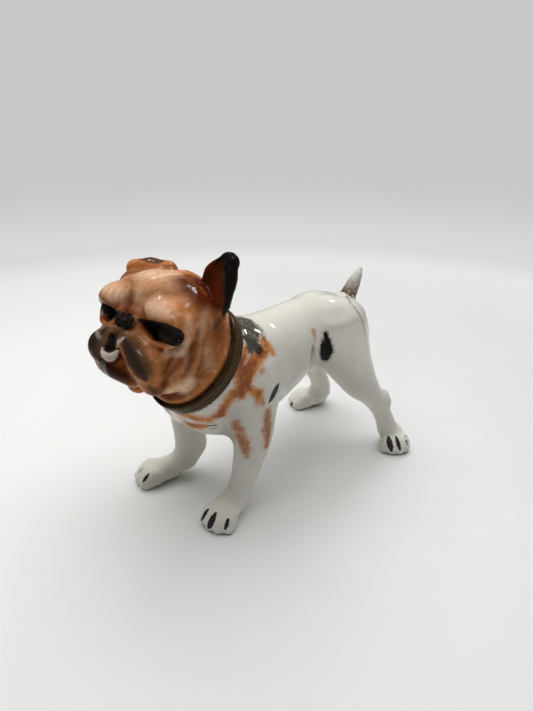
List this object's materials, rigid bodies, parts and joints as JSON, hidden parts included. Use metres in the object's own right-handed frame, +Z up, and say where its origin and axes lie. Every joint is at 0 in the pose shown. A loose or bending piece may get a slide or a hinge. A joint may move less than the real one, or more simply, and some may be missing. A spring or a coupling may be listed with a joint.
{
  "type": "dog figurine",
  "caption": "Standing bulldog figurine in glazed white porcelain with a painted tan face, an upright ear and a folded ear, a brown collar and a raised tail.",
  "frame": {"origin": "middle of the footprint, at the height of the soles", "axes": "+Z up, -Y the way the dog faces, +X towards the dog's left side"},
  "size_m": [0.0651, 0.1178, 0.0935],
  "materials": {
    "white_glaze": "clear gloss glaze over white porcelain, with painted spots and claws",
    "painted_head": "tan and brown brushed paint under a gloss glaze",
    "painted_ear": "dark red and black brushed paint under a gloss glaze",
    "collar_glaze": "grey-brown brushed paint under a gloss glaze"
  },
  "bodies": {
    "root": {"torso": "white_glaze", "head": "painted_head", "ear_left": "painted_ear", "ear_right": "painted_ear", "collar": "collar_glaze", "front_leg_left": "white_glaze", "front_leg_right": "white_glaze", "hind_leg_left": "white_glaze", "hind_leg_right": "white_glaze", "tail": "white_glaze"}
  },
  "joints": []
}
